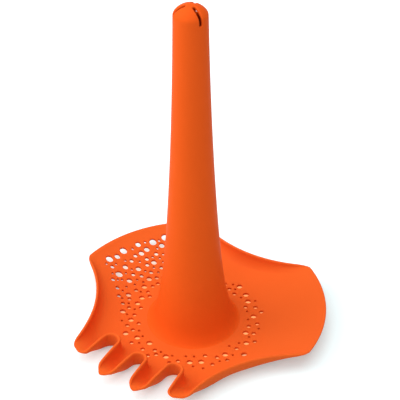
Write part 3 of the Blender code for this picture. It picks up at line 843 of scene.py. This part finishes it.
def handle_shell():
    """The handle: two skins joined by the slots' walls and by the flange and the mouth.

    Each skin is a net at the slotted tip and rings below it. The outer rings draw together
    towards the foot, where the way that is left falls as a power of the rings left.
    """
    turns = 2 * math.pi * np.arange(TURN_STEPS) / TURN_STEPS
    places, triangles, starts = tip_net(turns)
    tip_arc = np.hypot(*places.T)
    tip_angle = np.arctan2(places[:, 1], places[:, 0])
    share = np.linspace(0, 1, CONE_ROWS + 1)[1:]
    outer_arcs = TIP_END + (ARC[-1] - TIP_END) * (1 - (1 - share)**ROW_POWER)
    inner_arcs = TIP_END + (arc_at_height(COLLAR_HEIGHT + CLEARANCE) - TIP_END) * share

    handle = Moulding()
    skins = []
    for depth, arcs in ((0.0, outer_arcs), (HANDLE_WALL, inner_arcs)):
        arc = np.concatenate([tip_arc, np.repeat(arcs, TURN_STEPS)])
        angle = np.concatenate([tip_angle, np.tile(turns, len(arcs))])
        skin = shell_points(arc, angle, depth)
        within = depth > 0
        numbers = handle.add(plain_inside(skin) if within else skin)
        rows = numbers[len(places):].reshape(-1, TURN_STEPS)
        handle.fill(numbers[triangles], turned=within)
        handle.band([numbers[:TURN_STEPS], *rows], turned=within)
        skins.append(numbers)
    outer, inner = skins

    lips = lip_steps(SLOT_LIP, SLOT_LIP_TURNS)
    lips += [(aside, HANDLE_WALL - down) for aside, down in reversed(lips)]
    for turn, start in zip(SLOT_TURNS, starts[1:]):
        wall = [handle.add(shell_points(*slot_loop(aside, turn), down)) for aside, down in lips]
        loop = np.arange(start, start + len(wall[0]))
        handle.band([outer[loop], *wall, inner[loop]], turned=True)

    flange_bottom = LEDGE_THICKNESS + CLEARANCE
    flange = [(FOOT_RADIUS, flange_bottom), (mouth_radius(), flange_bottom),
              (mouth_radius(), COLLAR_HEIGHT)]
    handle.lathe(flange, outer[-TURN_STEPS:], inner[-TURN_STEPS:])
    return handle.finished("handle_moulding")


# Materials

def feed(tree, socket, value):
    """Set an input to a value, or link it where the value is another node's output."""
    if isinstance(value, bpy.types.NodeSocket):
        tree.links.new(value, socket)
    else:
        socket.default_value = value


def combined(tree, operation, first, second):
    """Output of a plain operation on two values."""
    node = tree.nodes.new("ShaderNodeMath")
    node.operation = operation
    feed(tree, node.inputs[0], first)
    feed(tree, node.inputs[1], second)
    return node.outputs["Value"]


def mixed(tree, kind, share, first, second):
    """Output that goes from the first value to the second as the share rises to 1."""
    node = tree.nodes.new("ShaderNodeMix")
    node.data_type = kind
    feed(tree, node.inputs["Factor"], share)
    feed(tree, node.inputs["A"], first)
    feed(tree, node.inputs["B"], second)
    return node.outputs["Result"]


def mapped(tree, value, given, wanted, course="LINEAR"):
    """Output of a value that is mapped from its given range to the wanted one."""
    node = tree.nodes.new("ShaderNodeMapRange")
    node.interpolation_type = course
    feed(tree, node.inputs["Value"], value)
    for name, end in zip(("From Min", "From Max", "To Min", "To Max"), (*given, *wanted)):
        feed(tree, node.inputs[name], end)
    return node.outputs["Result"]


def noise(tree, vector, scale, detail, roughness):
    """Output of a noise texture."""
    node = tree.nodes.new("ShaderNodeTexNoise")
    feed(tree, node.inputs["Vector"], vector)
    feed(tree, node.inputs["Scale"], scale)
    feed(tree, node.inputs["Detail"], detail)
    feed(tree, node.inputs["Roughness"], roughness)
    return node.outputs["Fac"]


def seen_share(tree):
    """Output that is 1 for camera, glossy and transmitted rays and 0 for other light."""
    path = tree.nodes.new("ShaderNodeLightPath")
    seen = path.outputs["Is Camera Ray"]
    seen = combined(tree, "MAXIMUM", seen, path.outputs["Is Glossy Ray"])
    return combined(tree, "MAXIMUM", seen, path.outputs["Is Transmission Ray"])


def new_material(name):
    """Material with nodes, its node tree and its Principled shader."""
    material = bpy.data.materials.new(name)
    material.use_nodes = True
    tree = material.node_tree
    return material, tree, tree.nodes["Principled BSDF"]


def moulded_skin_group():
    """Group for a moulded skin: fine spark texture, soft gloss patches, faint tint."""
    group = bpy.data.node_groups.new("moulded_skin", "ShaderNodeTree")
    for way, name, kind in (("INPUT", "Vector", "Vector"),
                            ("INPUT", "Grain Scale", "Float"),
                            ("INPUT", "Patch Scale", "Float"),
                            ("INPUT", "Roughness Low", "Float"),
                            ("INPUT", "Roughness High", "Float"),
                            ("INPUT", "Colour", "Color"),
                            ("INPUT", "Tint", "Color"),
                            ("OUTPUT", "Colour", "Color"),
                            ("OUTPUT", "Roughness", "Float"),
                            ("OUTPUT", "Height", "Float")):
        group.interface.new_socket(name=name, in_out=way, socket_type="NodeSocket" + kind)
    given = group.nodes.new("NodeGroupInput").outputs
    result = group.nodes.new("NodeGroupOutput").inputs
    grain = noise(group, given["Vector"], given["Grain Scale"], GRAIN_DETAIL, GRAIN_ROUGHNESS)
    patches = noise(group, given["Vector"], given["Patch Scale"], PATCH_DETAIL, PATCH_ROUGHNESS)
    gloss = (given["Roughness Low"], given["Roughness High"])
    tinted = mapped(group, patches, TINT_SPREAD, (0.0, 1.0))
    feed(group, result["Colour"], mixed(group, "RGBA", tinted, given["Colour"], given["Tint"]))
    feed(group, result["Roughness"], mapped(group, patches, GLOSS_SPREAD, gloss))
    feed(group, result["Height"], grain)
    return group


def satin_plastic(name, skin, colour, tint):
    """Satin orange polypropylene: the moulded skin feeds colour, gloss and bump."""
    material, tree, shader = new_material(name)
    texture = tree.nodes.new("ShaderNodeGroup")
    texture.node_tree = skin
    place = tree.nodes.new("ShaderNodeTexCoord").outputs["Object"]
    for socket, value in (("Vector", place), ("Grain Scale", GRAIN_SCALE),
                          ("Patch Scale", PATCH_SCALE), ("Roughness Low", ROUGHNESS_LOW),
                          ("Roughness High", ROUGHNESS_HIGH), ("Colour", colour),
                          ("Tint", tint)):
        feed(tree, texture.inputs[socket], value)
    bump = tree.nodes.new("ShaderNodeBump")
    feed(tree, bump.inputs["Strength"], BUMP_STRENGTH)
    feed(tree, bump.inputs["Distance"], BUMP_DISTANCE)
    feed(tree, bump.inputs["Height"], texture.outputs["Height"])
    for socket, value in (("Base Color", texture.outputs["Colour"]),
                          ("Roughness", texture.outputs["Roughness"]),
                          ("Normal", bump.outputs["Normal"]), ("Metallic", 0.0),
                          ("IOR", PLASTIC_IOR), ("Specular IOR Level", PLASTIC_SPECULAR)):
        feed(tree, shader.inputs[socket], value)
    return material


def floor_share(tree, centre, inner, outer):
    """Output that is 1 on the floor within inner of centre and falls to 0 at outer."""
    place = tree.nodes.new("ShaderNodeTexCoord").outputs["Object"]
    reach = tree.nodes.new("ShaderNodeVectorMath")
    reach.operation = "DISTANCE"
    feed(tree, reach.inputs[0], place)
    feed(tree, reach.inputs[1], (centre[0] * MM, centre[1] * MM, 0))
    ends = (inner * MM, outer * MM)
    return mapped(tree, reach.outputs["Value"], ends, (1.0, 0.0), "SMOOTHSTEP")


def floor_material():
    """Pale matt floor that shows as white outside the shadow, where it is seen directly.

    Under the foot an orange glow and under the sieve a cream one are painted light, in
    colour and glow, as under a plastic that lets some light through. Far from the tool it
    is plain white.
    """
    material, tree, shader = new_material("studio_floor")
    colour, glow, strength = FLOOR_FAR
    # Two of the patches paint light on the floor: an orange glow under the foot, a cream one
    # under the sieve.
    for away, inner, outer, patch_colour, patch_glow, patch_strength in FLOOR_TINTS_AND_PAINTED_LIGHT:
        share = floor_share(tree, AXIS + away * directions(SIEVE_ANGLE), inner, outer)
        colour = mixed(tree, "RGBA", share, colour, patch_colour)
        glow = mixed(tree, "RGBA", share, glow, patch_glow)
        strength = mixed(tree, "FLOAT", share, strength, patch_strength)
    seen = combined(tree, "MULTIPLY", seen_share(tree), strength)
    for socket, value in (("Base Color", colour), ("Emission Color", glow),
                          ("Emission Strength", seen), ("Roughness", 1.0),
                          ("Specular IOR Level", 0.0)):
        feed(tree, shader.inputs[socket], value)
    return material


def studio_world():
    """World that is white to camera, glossy and transmitted rays, and soft light else."""
    world = bpy.data.worlds.new("studio")
    bpy.context.scene.world = world
    world.use_nodes = True
    tree = world.node_tree
    strength = mapped(tree, seen_share(tree), (0.0, 1.0), (WORLD_LIGHT, WORLD_SEEN))
    background = tree.nodes["Background"]
    feed(tree, background.inputs["Color"], (1, 1, 1, 1))
    feed(tree, background.inputs["Strength"], strength)


# Studio

def camera_axes():
    """Right, ahead and up for someone who looks level along the camera's bearing."""
    bearing = math.radians(CAMERA_BEARING)
    right = Vector((math.cos(bearing), math.sin(bearing), 0))
    ahead = Vector((-math.sin(bearing), math.cos(bearing), 0))
    return right, ahead, Vector((0, 0, 1))


def put_camera():
    """Camera of the photograph: its place from the foot, then its slope and roll."""
    right, ahead, up = camera_axes()
    slope = math.radians(CAMERA_SLOPE)
    roll = math.radians(CAMERA_ROLL)
    top = ahead * math.sin(slope) + up * math.cos(slope)
    back = up * math.sin(slope) - ahead * math.cos(slope)
    turned_right = right * math.cos(roll) + top * math.sin(roll)
    turned_top = top * math.cos(roll) - right * math.sin(roll)
    place = right * CAMERA_ASIDE - ahead * CAMERA_BACK + up * CAMERA_UP
    place = (place + Vector((AXIS[0], AXIS[1], 0))) * MM
    data = bpy.data.cameras.new("camera")
    data.lens = CAMERA_LENS
    data.sensor_width = CAMERA_SENSOR
    data.clip_start = CAMERA_NEAR
    camera = bpy.data.objects.new("camera", data)
    turn = Matrix((turned_right, turned_top, back)).transposed()
    camera.matrix_world = Matrix.Translation(place) @ turn.to_4x4()
    bpy.context.scene.collection.objects.link(camera)
    bpy.context.scene.camera = camera


def put_lamp(name, aside, beyond, above, size, power):
    """Square soft lamp aimed at the tool, placed by the camera's bearing, in metres."""
    right, ahead, up = camera_axes()
    place = right * aside + ahead * beyond + up * above
    data = bpy.data.lights.new(name, "AREA")
    data.shape = "SQUARE"
    data.size = size
    data.energy = power
    lamp = bpy.data.objects.new(name, data)
    aim = (Vector((0, 0, AIM_HEIGHT)) - place).normalized()
    lamp.rotation_euler = aim.to_track_quat("-Z", "Y").to_euler()
    lamp.location = place
    bpy.context.scene.collection.objects.link(lamp)


def put_floor():
    """Large plain floor under the tool."""
    half = FLOOR_HALF
    corners = [(-half, -half, 0), (half, -half, 0), (half, half, 0), (-half, half, 0)]
    mesh = bpy.data.meshes.new("floor")
    mesh.from_pydata(corners, [], [(0, 1, 2, 3)])
    floor = bpy.data.objects.new("floor", mesh)
    bpy.context.scene.collection.objects.link(floor)
    mesh.materials.append(floor_material())


def main():
    """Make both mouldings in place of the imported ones, then the studio round them."""
    skin = moulded_skin_group()
    for piece, node, slot, (colour, tint) in (
            (blade_sheet(), "blade", "blade_plastic", BLADE_COLOURS),
            (handle_shell(), "cone_handle", "handle_plastic", HANDLE_COLOURS_WITH_PAINTED_SHADE)):
        piece.data.materials.append(satin_plastic(slot, skin, colour, tint))
        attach(piece, "root")
        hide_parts(node)
    put_floor()
    studio_world()
    put_camera()
    for lamp in LAMPS:
        put_lamp(*lamp)
    bpy.context.scene.view_settings.view_transform = "Standard"


main()
